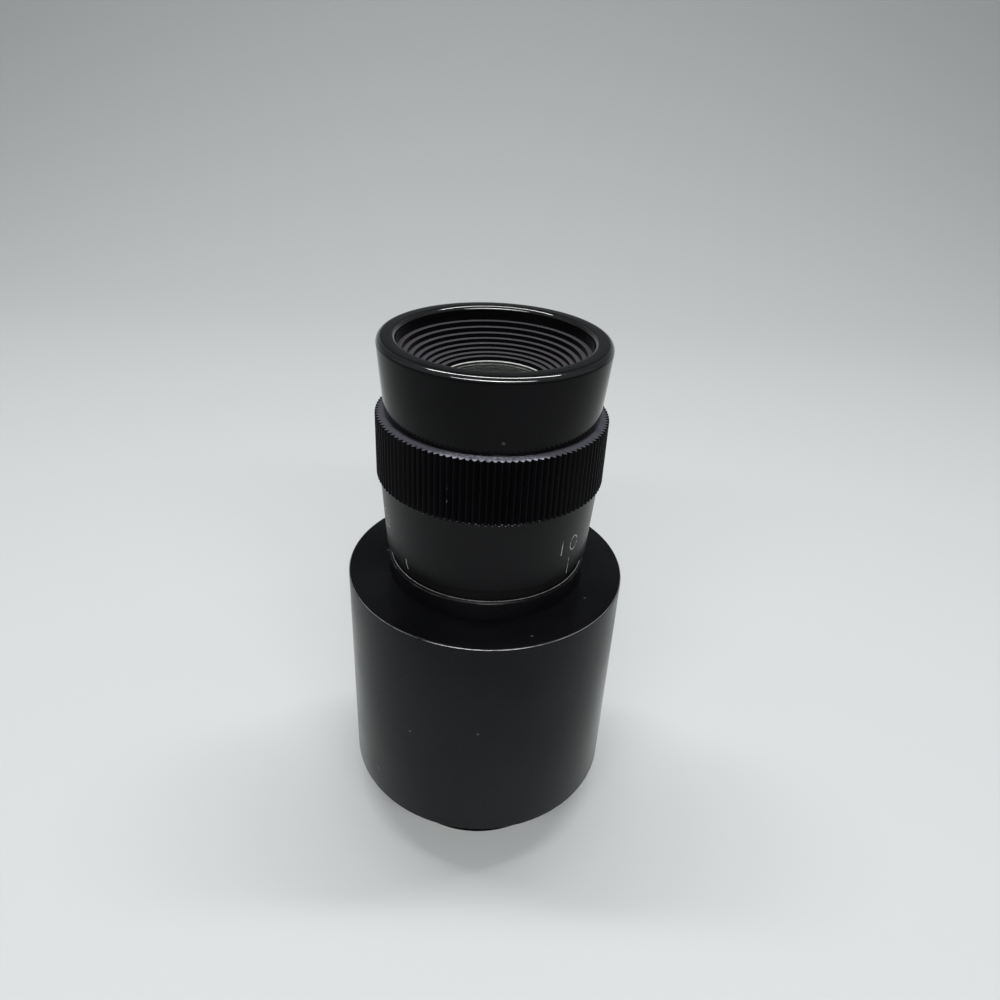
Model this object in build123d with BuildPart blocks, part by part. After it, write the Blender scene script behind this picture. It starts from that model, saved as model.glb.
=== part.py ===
from build123d import *

import os
from math import asin, atan2, cos, degrees, radians, sin, sqrt

# Low-power microscope objective with an iris diaphragm, standing on its mounting spigot, in millimetres.
# +Z is the optical axis, pointing out of the front hood, and -Y is the front of the scale.
# The origin is the centre of the spigot's lower face. The iris drive screw is at the back, on +Y.

# Adapter barrel, turned in one with its spigot
barrel_radius = 24.0
barrel_length = 41.5
barrel_edge = 0.2
spigot_step = 6.5
spigot_length = 9.5
spigot_edge = 0.5
spigot_wall = 2.0
mount_thread_depth = 8.0

# Lock collar between the barrel and the lens tube
collar_wall = 2.9
collar_height = 3.6
collar_edge = 0.35

# Lens tube, which the control ring turns on
tube_radius = 15.75
tube_wall = 1.25
neck_flange = 0.45
neck_height = 2.3
mount_thread_step = 1.75
rear_wall = 2.0
tube_stop_width = 1.0
tube_stop_height = 4.0

# Iris control ring: a serrated grip above a tapered skirt that carries the scale
skirt_height = 12.75
skirt_low_wall = 1.5
skirt_taper = 0.85
grip_height = 10.55
grip_step = 0.55
grip_edge = 0.1
serration_count = 117
serration_depth = 0.7
serration_land = 0.08

# Front hood with its stepped, light-trapping cone
hood_height = 11.9
hood_overhang = 1.5
hood_flare = 1.0
hood_gap = 0.3
hood_boss_overhang = 0.65
shank_wall = 2.9
rim_width = 3.15
rim_outer_fillet = 1.0
rim_inner_fillet = 0.8
mouth_depth = 2.35
step_count = 8
step_tread = 0.8
step_first_riser = 0.82
step_last_riser = 0.33
cone_lip = 0.3

# Front cell and its two lenses
front_cell_wall = 2.15
front_cell_lip = 0.3
front_cell_tail = 0.2
front_lip_width = 0.95
front_lens_curve = 60.0
front_lens_rim = 2.08
lens_spacer_height = 1.6
lens_spacer_wall = 0.8
second_lens_centre = 1.05
second_lens_front_curve = 70.0
second_lens_back_curve = 36.0
front_retainer_height = 1.2

# Rear cell and its cemented doublet
rear_cell_wall = 3.9
rear_cell_lip = 0.6
rear_cell_tail = 2.7
rear_cell_flare = 2.0
rear_lip_width = 1.0
rear_flint_centre = 0.9
rear_flint_curve = 45.0
cement_curve = 16.0
cement_gap = 0.03
rear_crown_rim = 1.2
rear_crown_curve = 24.0
rear_retainer_height = 1.5

# Iris: each leaf swings on a fixed pin, and a pin at its far end is driven by a slot in the rotor
leaf_count = 8
leaf_thickness = 0.06
leaf_slope = 0.07
leaf_slope_direction = 155.0
leaf_eye_radius = 1.1
leaf_heel_angle = 24.0
leaf_toe_angle = 94.0
leaf_drive_angle = 100.0
leaf_start_angle = 22.5
leaf_pivot_inset = 1.9
iris_open_radius = 6.0
iris_rest_radius = 5.0
iris_least_radius = 2.5
iris_stop_margin = 0.2
ring_travel = 110.0
pin_radius = 0.4
iris_floor = 1.0
rotor_thickness = 1.2
slot_spans = 8
iris_retainer_height = 1.1
iris_retainer_wall = 4.0

# Drive screw from the control ring to the rotor
screw_radius = 1.2
screw_nose_radius = 0.45
screw_recess = 0.3
screw_slot_width = 0.5
screw_slot_depth = 0.5
notch_depth = 1.0

# Spanner slots in the three retaining rings
spanner_width = 1.2
spanner_depth = 0.5

# Fits
thread_clearance = 0.05
running_clearance = 0.05
glass_clearance = 0.05
end_play = 0.1
leaf_room = 0.1
stop_room = 0.1
slot_overrun_angle = 0.5


def sag(curve, height):
    """Depth of a spherical surface at a distance from its axis."""
    return curve - sqrt(curve**2 - height**2)


def swing_to(opening):
    """Angle that a leaf has turned from fully open when the iris opening has this radius."""
    return 2 * degrees(asin((iris_open_radius - opening) / (2 * leaf_pivot_radius)))


def polar(radius, angle):
    return Vector(radius * cos(radians(angle)), radius * sin(radians(angle)))


# Radii, outwards and inwards from the barrel and the tube
spigot_radius = barrel_radius - spigot_step
light_bore_radius = spigot_radius - spigot_wall
neck_radius = tube_radius + neck_flange
iris_bore_radius = tube_radius - tube_wall
mount_thread_radius = tube_radius - mount_thread_step
collar_radius = mount_thread_radius + collar_wall
rear_bore_radius = mount_thread_radius - rear_wall
tube_stop_radius = rear_bore_radius - tube_stop_width
skirt_low_radius = tube_radius + skirt_low_wall
skirt_top_radius = skirt_low_radius + skirt_taper
grip_radius = skirt_top_radius + grip_step
hood_boss_radius = tube_radius + hood_boss_overhang
hood_low_radius = tube_radius + hood_overhang
hood_top_radius = hood_low_radius + hood_flare
mouth_radius = hood_top_radius - rim_width
cone_radius = mouth_radius - step_count * step_tread
front_cell_radius = iris_bore_radius - shank_wall
front_bore_radius = front_cell_radius - thread_clearance - front_cell_wall
front_glass_radius = front_bore_radius - glass_clearance
front_clear_radius = front_glass_radius - front_lip_width
spacer_bore_radius = front_glass_radius - lens_spacer_wall
rear_lens_bore = rear_bore_radius - thread_clearance - rear_cell_wall
rear_glass_radius = rear_lens_bore - glass_clearance
rear_clear_radius = rear_glass_radius - rear_lip_width
leaf_pivot_radius = iris_bore_radius - leaf_pivot_inset
leaf_outer_radius = leaf_pivot_radius + leaf_eye_radius
stop_radius = iris_open_radius + iris_stop_margin

# Levels along the axis, from the spigot up to the rim
barrel_top = spigot_length + barrel_length
tube_low = barrel_top - mount_thread_depth
collar_top = barrel_top + collar_height
neck_top = collar_top + neck_height
skirt_low = neck_top + end_play
grip_low = skirt_low + skirt_height
grip_top = grip_low + grip_height
tube_top = grip_top + end_play
hood_low = tube_top + hood_gap
rim_top = hood_low + hood_height

# The front glass is stacked downwards from the foot of the hood's cone
cone_depth = step_count * (step_first_riser + step_last_riser) / 2
front_cell_top = rim_top - mouth_depth - cone_depth - cone_lip
front_seat = front_cell_top - front_cell_lip
front_apex = front_seat + sag(front_lens_curve, front_clear_radius)
front_lens_edge = front_apex - sag(front_lens_curve, front_glass_radius)
front_lens_back = front_lens_edge - front_lens_rim
second_lens_top = front_lens_back - lens_spacer_height
second_front_apex = second_lens_top - sag(second_lens_front_curve, spacer_bore_radius)
second_back_apex = second_front_apex - second_lens_centre
second_lens_low = second_back_apex - sag(second_lens_back_curve, spacer_bore_radius)
front_retainer_low = second_lens_low - front_retainer_height
shank_low = front_retainer_low - front_cell_tail

# The iris is stacked downwards from the hood's shank
iris_retainer_low = shank_low - end_play - iris_retainer_height
rotor_top = iris_retainer_low - end_play
rotor_low = rotor_top - rotor_thickness
drive_pin_reach = 2 * leaf_pivot_radius * sin(radians(leaf_drive_angle / 2))
drive_pin_direction = 90 + leaf_drive_angle / 2
leaf_run = drive_pin_reach * cos(radians(drive_pin_direction - leaf_slope_direction)) + 2 * leaf_eye_radius
iris_floor_top = rotor_low - 2 * leaf_room - leaf_thickness - leaf_slope * leaf_run
iris_shelf = iris_floor_top - iris_floor
rear_cell_top = iris_shelf - tube_stop_height
drive_level = (rotor_low + rotor_top) / 2
rest_swing = swing_to(iris_rest_radius)
swing_ratio = swing_to(iris_least_radius) / ring_travel
ring_to_open = -rest_swing / swing_ratio

os.makedirs("parts", exist_ok=True)


# Adapter barrel: a plain cylinder that steps in to the spigot, bored right through for the light
with BuildPart() as adapter_barrel:
    with BuildSketch(Plane.XZ):
        with BuildLine():
            Polyline(
                (light_bore_radius, 0),
                (spigot_radius, 0),
                (spigot_radius, spigot_length),
                (barrel_radius, spigot_length),
                (barrel_radius, barrel_top),
                (mount_thread_radius, barrel_top),
                (mount_thread_radius, tube_low),
                (light_bore_radius, tube_low),
                close=True,
            )
        make_face()
    revolve(axis=Axis.Z)
    circles = adapter_barrel.edges().filter_by(GeomType.CIRCLE)
    chamfer(circles.group_by(SortBy.RADIUS)[-1], barrel_edge)
    foot_circles = adapter_barrel.edges().filter_by(GeomType.CIRCLE).group_by(Axis.Z)[0]
    chamfer(foot_circles.sort_by(SortBy.RADIUS)[-1], spigot_edge)
adapter_barrel.part.label = "adapter_barrel"
export_step(adapter_barrel.part, "parts/adapter_barrel.step")


# Lock collar: a plain ring on the tube's thread, bearing on the barrel
with BuildPart() as lock_collar:
    with BuildSketch(Plane.XY.offset(barrel_top)):
        Circle(collar_radius)
        Circle(mount_thread_radius, mode=Mode.SUBTRACT)
    extrude(amount=collar_height)
    top_circles = lock_collar.edges().filter_by(GeomType.CIRCLE).group_by(Axis.Z)[-1]
    chamfer(top_circles.sort_by(SortBy.RADIUS)[-1], collar_edge)
lock_collar.part.label = "lock_collar"
export_step(lock_collar.part, "parts/lock_collar.step")


# Lens tube: neck flange, bearing for the control ring, iris bore and a slot that the drive screw travels in
screw_half_angle = degrees(asin((screw_nose_radius + stop_room) / iris_bore_radius))
slot_start = 90 + ring_to_open - screw_half_angle
with BuildPart() as lens_tube:
    with BuildSketch(Plane.XZ):
        with BuildLine():
            Polyline(
                (rear_bore_radius, tube_low),
                (mount_thread_radius - thread_clearance, tube_low),
                (mount_thread_radius - thread_clearance, collar_top),
                (neck_radius, collar_top),
                (neck_radius, neck_top),
                (tube_radius, neck_top),
                (tube_radius, tube_top),
                (iris_bore_radius, tube_top),
                (iris_bore_radius, iris_shelf),
                (tube_stop_radius, iris_shelf),
                (tube_stop_radius, rear_cell_top),
                (rear_bore_radius, rear_cell_top),
                close=True,
            )
        make_face()
    revolve(axis=Axis.Z)
    with BuildSketch(Plane.XZ.rotated((0, 0, slot_start))):
        with Locations(((iris_bore_radius + tube_radius) / 2, drive_level)):
            Rectangle(2 * (tube_radius - iris_bore_radius), 2 * (screw_nose_radius + stop_room))
    revolve(axis=Axis.Z, revolution_arc=ring_travel + 2 * screw_half_angle, mode=Mode.SUBTRACT)
lens_tube.part.label = "lens_tube"
export_step(lens_tube.part, "parts/lens_tube.step")


# Control ring: one turned piece, with V serrations cut round the grip and a tapped hole at the back
serration_gap = 2 * grip_radius * sin(radians(180 / serration_count)) - serration_land
with BuildPart() as control_ring:
    with BuildSketch(Plane.XZ):
        with BuildLine():
            Polyline(
                (tube_radius + running_clearance, skirt_low),
                (skirt_low_radius, skirt_low),
                (skirt_top_radius, grip_low),
                (grip_radius - grip_edge, grip_low),
                (grip_radius, grip_low + grip_edge),
                (grip_radius, grip_top - grip_edge),
                (grip_radius - grip_edge, grip_top),
                (tube_radius + running_clearance, grip_top),
                close=True,
            )
        make_face()
    revolve(axis=Axis.Z)
    with BuildSketch(Plane.XY.offset(grip_low)):
        with PolarLocations(grip_radius, serration_count):
            Polygon(
                (-serration_depth, 0),
                (0, -serration_gap / 2),
                (serration_land, -serration_gap / 2),
                (serration_land, serration_gap / 2),
                (0, serration_gap / 2),
                align=None,
            )
    extrude(amount=grip_height, mode=Mode.SUBTRACT)
    with BuildSketch(Plane.XZ.offset(-grip_radius)):
        with Locations((0, drive_level)):
            Circle(screw_radius + thread_clearance)
    extrude(amount=grip_radius - tube_radius / 2, mode=Mode.SUBTRACT)
control_ring.part.label = "control_ring"
export_step(control_ring.part, "parts/control_ring.step")


# Drive screw: a slotted grub screw at the back of the grip, with a nose that turns the rotor
screw_head = sqrt((grip_radius - serration_depth) ** 2 - screw_radius**2) - screw_recess
screw_shoulder = tube_radius + running_clearance + thread_clearance
notch_radius = iris_bore_radius - running_clearance - notch_depth
with BuildPart() as drive_screw:
    with BuildSketch(Plane.XZ.offset(-screw_head)):
        with Locations((0, drive_level)):
            Circle(screw_radius)
    extrude(amount=screw_head - screw_shoulder)
    with BuildSketch(Plane.XZ.offset(-screw_shoulder)):
        with Locations((0, drive_level)):
            Circle(screw_nose_radius)
    extrude(amount=screw_shoulder - notch_radius - running_clearance)
    with BuildSketch(Plane.XZ.offset(-screw_head)):
        with Locations((0, drive_level)):
            Rectangle(2 * screw_radius, screw_slot_width)
    extrude(amount=screw_slot_depth, mode=Mode.SUBTRACT)
drive_screw.part.label = "drive_screw"
export_step(drive_screw.part, "parts/drive_screw.step")


# Iris base: a shallow cup on the tube's shelf, drilled for the leaves' fixed pins
with BuildPart() as iris_base:
    with BuildSketch(Plane.XY.offset(iris_shelf)):
        Circle(iris_bore_radius - thread_clearance)
        Circle(stop_radius, mode=Mode.SUBTRACT)
        with PolarLocations(leaf_pivot_radius, leaf_count, start_angle=leaf_start_angle):
            Circle(pin_radius + running_clearance, mode=Mode.SUBTRACT)
    extrude(amount=iris_floor)
    with BuildSketch(Plane.XY.offset(iris_floor_top)):
        Circle(iris_bore_radius - thread_clearance)
        Circle(leaf_outer_radius + leaf_room, mode=Mode.SUBTRACT)
    extrude(amount=rotor_low - running_clearance - iris_floor_top)
iris_base.part.label = "iris_base"
export_step(iris_base.part, "parts/iris_base.step")


def drive_pin(ring_turn):
    """Centre of the first leaf's drive pin, in its own frame, after the ring has turned from rest."""
    swing = rest_swing + swing_ratio * ring_turn
    return Vector(leaf_pivot_radius, 0) + polar(drive_pin_reach, drive_pin_direction + swing)


# Iris rotor: its curved slots follow the drive pins, so that the leaves turn in step with the ring
slot_half_width = pin_radius + running_clearance
slot_sweep = ring_travel + 2 * slot_overrun_angle
slot_stations = [station / slot_spans for station in range(slot_spans + 1)]
slot_turns = [ring_to_open - slot_overrun_angle + slot_sweep * station for station in slot_stations]
with BuildLine() as pin_track:
    track = Spline(*[drive_pin(turn).rotate(Axis.Z, leaf_start_angle - turn) for turn in slot_turns])


def track_side(side):
    """Points along one wall of the slot, square to the pin's track."""
    return [track @ station + (track % station).rotate(Axis.Z, 90) * side for station in slot_stations]


with BuildSketch() as pin_slot:
    with BuildLine():
        inner_wall = Spline(*track_side(slot_half_width))
        outer_wall = Spline(*track_side(-slot_half_width))
        ThreePointArc(inner_wall @ 0, track @ 0 - (track % 0) * slot_half_width, outer_wall @ 0)
        ThreePointArc(inner_wall @ 1, track @ 1 + (track % 1) * slot_half_width, outer_wall @ 1)
    make_face()
with BuildPart() as iris_rotor:
    with BuildSketch(Plane.XY.offset(rotor_low)):
        Circle(iris_bore_radius - running_clearance)
        Circle(stop_radius, mode=Mode.SUBTRACT)
        with PolarLocations(0, leaf_count):
            add(pin_slot.sketch, mode=Mode.SUBTRACT)
        with Locations((0, iris_bore_radius)):
            notch_width = 2 * (screw_nose_radius + running_clearance)
            Rectangle(notch_width, 2 * (iris_bore_radius - notch_radius), mode=Mode.SUBTRACT)
    extrude(amount=rotor_thickness)
iris_rotor.part.label = "iris_rotor"
export_step(iris_rotor.part, "parts/iris_rotor.step")


def eye_tangent(point, eye, side):
    """Where a straight edge from a point of the leaf touches the round end about one of its pins."""
    reach = eye - point
    lean = degrees(asin(leaf_eye_radius / reach.length))
    direction = degrees(atan2(reach.Y, reach.X)) + side * lean
    return point + polar(sqrt(reach.length**2 - leaf_eye_radius**2), direction)


# Iris leaf: a thin crescent, tilted so that each one lies over the next, with a riveted pin at either end
leaf_pivot = polar(leaf_pivot_radius, leaf_start_angle)
leaf_turn = leaf_start_angle + rest_swing
leaf_drive_point = drive_pin(0).rotate(Axis.Z, leaf_start_angle)
pivot_level = iris_floor_top + leaf_room + leaf_thickness / 2 + leaf_slope * leaf_eye_radius
drive_pin_low = pivot_level + leaf_slope * (leaf_run - 2 * leaf_eye_radius)
leaf_uphill = polar(leaf_slope, leaf_turn + leaf_slope_direction)
leaf_along = polar(1, leaf_turn)
leaf_plane = Plane(
    origin=(leaf_pivot.X, leaf_pivot.Y, pivot_level),
    x_dir=(leaf_along.X, leaf_along.Y, leaf_along.dot(leaf_uphill)),
    z_dir=(-leaf_uphill.X, -leaf_uphill.Y, 1),
)
leaf_centre = Vector(-leaf_pivot_radius, 0)
leaf_far_eye = polar(drive_pin_reach, drive_pin_direction)
leaf_span_angle = leaf_toe_angle - leaf_heel_angle
with BuildPart() as iris_leaf:
    with BuildSketch(leaf_plane):
        with BuildLine():
            outside = CenterArc(leaf_centre, leaf_outer_radius, 0, leaf_drive_angle)
            inside = CenterArc(leaf_centre, iris_open_radius, leaf_heel_angle, leaf_span_angle)
            Polyline(inside @ 0, eye_tangent(inside @ 0, Vector(0, 0), 1), outside @ 0)
            Polyline(inside @ 1, eye_tangent(inside @ 1, leaf_far_eye, -1), outside @ 1)
        make_face()
        with Locations((0, 0), leaf_far_eye):
            Circle(leaf_eye_radius)
    extrude(amount=leaf_thickness / 2, both=True)
    with BuildSketch(Plane.XY.offset(iris_shelf + end_play)):
        with Locations(leaf_pivot):
            Circle(pin_radius)
    extrude(amount=pivot_level - iris_shelf - end_play)
    with BuildSketch(Plane.XY.offset(drive_pin_low)):
        with Locations(leaf_drive_point):
            Circle(pin_radius)
    extrude(amount=rotor_top - end_play - drive_pin_low)
for leaf in range(leaf_count):
    turned_leaf = iris_leaf.part.rotate(Axis.Z, 360 / leaf_count * leaf)
    turned_leaf.label = f"iris_leaf_{leaf + 1}"
    export_step(turned_leaf, f"parts/{turned_leaf.label}.step")


def retaining_ring(outer_radius, inner_radius, low, height):
    """A threaded ring with two spanner slots across its lower face."""
    with BuildPart() as ring:
        with BuildSketch(Plane.XY.offset(low)):
            Circle(outer_radius)
            Circle(inner_radius, mode=Mode.SUBTRACT)
        extrude(amount=height)
        with BuildSketch(Plane.XY.offset(low)):
            Rectangle(2 * outer_radius, spanner_width)
        extrude(amount=spanner_depth, mode=Mode.SUBTRACT)
    return ring.part


# Iris retainer: a threaded ring that keeps the rotor down
iris_retainer = retaining_ring(
    iris_bore_radius - thread_clearance,
    iris_bore_radius - iris_retainer_wall,
    iris_retainer_low,
    iris_retainer_height,
)
iris_retainer.label = "iris_retainer"
export_step(iris_retainer, "parts/iris_retainer.step")


# Front hood: a flared cup with a rounded rim, and inside it a staircase of turned steps down to the glass
def step_riser(step):
    """Height of one step of the cone: they get lower towards the glass."""
    return step_first_riser + (step_last_riser - step_first_riser) * step / (step_count - 1)


cone_points = [(mouth_radius, rim_top)]
step_level = rim_top - mouth_depth
for step in range(step_count):
    cone_points.append((mouth_radius - step * step_tread, step_level))
    cone_points.append((mouth_radius - (step + 1) * step_tread, step_level))
    step_level -= step_riser(step)
with BuildPart() as front_hood:
    with BuildSketch(Plane.XZ):
        with BuildLine():
            Polyline(
                (hood_boss_radius, tube_top),
                (hood_boss_radius, hood_low),
                (hood_low_radius, hood_low),
                (hood_top_radius, rim_top),
                *cone_points,
                (cone_radius, front_cell_top),
                (front_cell_radius, front_cell_top),
                (front_cell_radius, shank_low),
                (iris_bore_radius - thread_clearance, shank_low),
                (iris_bore_radius - thread_clearance, tube_top),
                close=True,
            )
        make_face()
    revolve(axis=Axis.Z)
    rim_circles = front_hood.edges().filter_by(GeomType.CIRCLE).group_by(Axis.Z)[-1]
    fillet(rim_circles.sort_by(SortBy.RADIUS)[-1], rim_outer_fillet)
    rim_circles = front_hood.edges().filter_by(GeomType.CIRCLE).group_by(Axis.Z)[-1]
    fillet(rim_circles.sort_by(SortBy.RADIUS)[0], rim_inner_fillet)
front_hood.part.label = "front_hood"
export_step(front_hood.part, "parts/front_hood.step")


# Front cell: a threaded cup in the hood, with a thin lip that the front lens bears on
with BuildPart() as front_cell:
    with BuildSketch(Plane.XZ):
        with BuildLine():
            Polyline(
                (front_clear_radius, front_cell_top),
                (front_cell_radius - thread_clearance, front_cell_top),
                (front_cell_radius - thread_clearance, shank_low),
                (front_bore_radius, shank_low),
                (front_bore_radius, front_seat),
                (front_clear_radius, front_seat),
                close=True,
            )
        make_face()
    revolve(axis=Axis.Z)
front_cell.part.label = "front_cell"
export_step(front_cell.part, "parts/front_cell.step")


# Front lens: plano-convex, its dome standing up through the cell's lip
with BuildPart() as front_lens:
    with BuildSketch(Plane.XZ):
        with BuildLine():
            dome = ThreePointArc(
                (0, front_apex),
                (front_glass_radius / 2, front_apex - sag(front_lens_curve, front_glass_radius / 2)),
                (front_glass_radius, front_lens_edge),
            )
            Polyline(dome @ 1, (front_glass_radius, front_lens_back), (0, front_lens_back), dome @ 0)
        make_face()
    revolve(axis=Axis.Z)
front_lens.part.label = "front_lens"
export_step(front_lens.part, "parts/front_lens.step")


# Lens spacer: a plain ring between the two front lenses
with BuildPart() as lens_spacer:
    with BuildSketch(Plane.XY.offset(second_lens_top)):
        Circle(front_glass_radius)
        Circle(spacer_bore_radius, mode=Mode.SUBTRACT)
    extrude(amount=lens_spacer_height)
lens_spacer.part.label = "lens_spacer"
export_step(lens_spacer.part, "parts/lens_spacer.step")


# Second lens: biconcave, with a flat rim on both faces
half_aperture = spacer_bore_radius / 2
with BuildPart() as second_lens:
    with BuildSketch(Plane.XZ):
        with BuildLine():
            hollow = ThreePointArc(
                (0, second_front_apex),
                (half_aperture, second_front_apex + sag(second_lens_front_curve, half_aperture)),
                (spacer_bore_radius, second_lens_top),
            )
            under = ThreePointArc(
                (0, second_back_apex),
                (half_aperture, second_back_apex - sag(second_lens_back_curve, half_aperture)),
                (spacer_bore_radius, second_lens_low),
            )
            Polyline(
                hollow @ 1,
                (front_glass_radius, second_lens_top),
                (front_glass_radius, second_lens_low),
                under @ 1,
            )
            Line(under @ 0, hollow @ 0)
        make_face()
    revolve(axis=Axis.Z)
second_lens.part.label = "second_lens"
export_step(second_lens.part, "parts/second_lens.step")


# Front retainer: holds the front pair up against the lip
front_retainer = retaining_ring(
    front_bore_radius - thread_clearance,
    spacer_bore_radius,
    front_retainer_low,
    front_retainer_height,
)
front_retainer.label = "front_retainer"
export_step(front_retainer, "parts/front_retainer.step")


# Rear cell: threaded into the tube from behind, up to the stop below the iris, and flared at its back
rear_seat = rear_cell_top - rear_cell_lip
flint_apex = rear_seat - sag(rear_flint_curve, rear_clear_radius)
cement_apex = flint_apex - rear_flint_centre
flint_edge = cement_apex - sag(cement_curve, rear_glass_radius)
crown_top = cement_apex - cement_gap
crown_edge = flint_edge - cement_gap
crown_low_edge = crown_edge - rear_crown_rim
crown_apex = crown_low_edge - sag(rear_crown_curve, rear_glass_radius)
rear_retainer_low = crown_apex + sag(rear_crown_curve, rear_clear_radius) - rear_retainer_height
rear_cell_low = rear_retainer_low - rear_cell_tail
with BuildPart() as rear_cell:
    with BuildSketch(Plane.XZ):
        with BuildLine():
            Polyline(
                (rear_clear_radius, rear_cell_top),
                (rear_bore_radius - thread_clearance, rear_cell_top),
                (rear_bore_radius - thread_clearance, rear_cell_low),
                (rear_lens_bore + rear_cell_flare, rear_cell_low),
                (rear_lens_bore, rear_retainer_low),
                (rear_lens_bore, rear_seat),
                (rear_clear_radius, rear_seat),
                close=True,
            )
        make_face()
    revolve(axis=Axis.Z)
rear_cell.part.label = "rear_cell"
export_step(rear_cell.part, "parts/rear_cell.step")


# Rear flint: the hollow element of the doublet, its flat rim against the cell's lip
with BuildPart() as rear_flint:
    with BuildSketch(Plane.XZ):
        with BuildLine():
            flint_front = ThreePointArc(
                (0, flint_apex),
                (rear_clear_radius / 2, flint_apex + sag(rear_flint_curve, rear_clear_radius / 2)),
                (rear_clear_radius, rear_seat),
            )
            flint_back = ThreePointArc(
                (0, cement_apex),
                (rear_glass_radius / 2, cement_apex - sag(cement_curve, rear_glass_radius / 2)),
                (rear_glass_radius, flint_edge),
            )
            Polyline(flint_front @ 1, (rear_glass_radius, rear_seat), flint_back @ 1)
            Line(flint_back @ 0, flint_front @ 0)
        make_face()
    revolve(axis=Axis.Z)
rear_flint.part.label = "rear_flint"
export_step(rear_flint.part, "parts/rear_flint.step")


# Rear crown: the domed element, cemented into the flint and held by the rear retainer
with BuildPart() as rear_crown:
    with BuildSketch(Plane.XZ):
        with BuildLine():
            crown_front = ThreePointArc(
                (0, crown_top),
                (rear_glass_radius / 2, crown_top - sag(cement_curve, rear_glass_radius / 2)),
                (rear_glass_radius, crown_edge),
            )
            crown_back = ThreePointArc(
                (0, crown_apex),
                (rear_glass_radius / 2, crown_apex + sag(rear_crown_curve, rear_glass_radius / 2)),
                (rear_glass_radius, crown_low_edge),
            )
            Line(crown_front @ 1, crown_back @ 1)
            Line(crown_back @ 0, crown_front @ 0)
        make_face()
    revolve(axis=Axis.Z)
rear_crown.part.label = "rear_crown"
export_step(rear_crown.part, "parts/rear_crown.step")


# Rear retainer: bears on the crown's dome and locks the doublet in
rear_retainer = retaining_ring(
    rear_lens_bore - thread_clearance,
    rear_clear_radius,
    rear_retainer_low,
    rear_retainer_height,
)
rear_retainer.label = "rear_retainer"
export_step(rear_retainer, "parts/rear_retainer.step")
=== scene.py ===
from math import cos, pi, radians, sin

import bmesh
import bpy
from mathutils import Matrix, Vector


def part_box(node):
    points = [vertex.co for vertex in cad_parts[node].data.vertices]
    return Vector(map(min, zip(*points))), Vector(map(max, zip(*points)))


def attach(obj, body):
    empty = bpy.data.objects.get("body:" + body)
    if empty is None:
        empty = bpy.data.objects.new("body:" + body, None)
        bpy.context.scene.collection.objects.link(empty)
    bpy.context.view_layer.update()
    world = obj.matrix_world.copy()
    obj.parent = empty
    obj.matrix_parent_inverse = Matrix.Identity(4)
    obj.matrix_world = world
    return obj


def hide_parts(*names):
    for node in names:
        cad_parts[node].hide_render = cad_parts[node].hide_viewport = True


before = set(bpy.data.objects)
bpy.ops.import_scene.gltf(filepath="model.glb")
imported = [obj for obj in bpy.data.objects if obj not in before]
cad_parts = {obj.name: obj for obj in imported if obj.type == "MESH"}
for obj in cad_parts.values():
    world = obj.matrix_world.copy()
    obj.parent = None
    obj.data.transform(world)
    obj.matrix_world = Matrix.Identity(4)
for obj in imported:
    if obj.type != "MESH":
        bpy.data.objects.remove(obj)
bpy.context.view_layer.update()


# Adapter barrel: a plain cylinder turned from aluminium bar in one with the spigot it stands on.
# It is anodised gloss black, and its matt spigot is painted darker as painted shade under the
# barrel.
# Handling has left smudges and a few specks, and the top edge is rubbed through to a thin bright
# line.
mm = 0.001
barrel_radius = 24.0
barrel_low = 9.5
barrel_top = 51.0
barrel_edge = 0.2
spigot_radius = 17.5
spigot_edge = 0.5
light_bore_radius = 15.5
mount_thread_radius = 14.0
mount_thread_depth = 8.0
edge_rounding = 0.08
fewest_segments = 4
segments_per_mm = 8
spin_steps = 256
sharp_edge = radians(30)


def turned(name, corners):
    """A turned piece: corners of (radius, level, rounding), in millimetres, spun about the axis."""
    section = bmesh.new()
    points = [section.verts.new((radius * mm, 0, level * mm)) for radius, level, _ in corners]
    for start, end in zip(points, points[1:] + points[:1]):
        section.edges.new((start, end))
    for point, (_, _, rounding) in zip(points, corners):
        if rounding:
            bmesh.ops.bevel(
                section,
                geom=[point],
                offset=rounding * mm,
                offset_type="OFFSET",
                affect="VERTICES",
                segments=fewest_segments + round(segments_per_mm * rounding),
                profile=0.5,
                material=-1,
            )
    bmesh.ops.spin(
        section,
        geom=section.verts[:] + section.edges[:],
        cent=(0, 0, 0),
        axis=(0, 0, 1),
        angle=2 * pi,
        steps=spin_steps,
        use_merge=True,
    )
    bmesh.ops.recalc_face_normals(section, faces=section.faces[:])
    mesh = bpy.data.meshes.new(name)
    section.to_mesh(mesh)
    section.free()
    mesh.shade_smooth()
    mesh.set_sharp_from_angle(angle=sharp_edge)
    piece = bpy.data.objects.new(name, mesh)
    bpy.context.scene.collection.objects.link(piece)
    return piece


def add_node(tree, kind, values=(), **settings):
    """Adds a shader node. Each input takes a plain value, or a socket that it is linked from."""
    made = tree.nodes.new(kind)
    for setting, value in settings.items():
        setattr(made, setting, value)
    for socket, value in dict(values).items():
        if isinstance(value, bpy.types.NodeSocket):
            tree.links.new(value, made.inputs[socket])
        else:
            made.inputs[socket].default_value = value
    return made


def calculate(tree, operation, first, second=0.0, third=0.0):
    """The result of one sum."""
    values = {0: first, 1: second, 2: third}
    return add_node(tree, "ShaderNodeMath", values, operation=operation).outputs[0]


def ramp(tree, value, low, high):
    """A smooth step from 0 to 1 as the value goes from low to high."""
    values = {"Value": value, "From Min": low, "From Max": high}
    return add_node(tree, "ShaderNodeMapRange", values, interpolation_type="SMOOTHSTEP").outputs[0]


def blend_value(tree, share, first, second):
    """A blend of two values."""
    return add_node(tree, "ShaderNodeMix", {0: share, 2: first, 3: second}).outputs[0]


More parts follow.
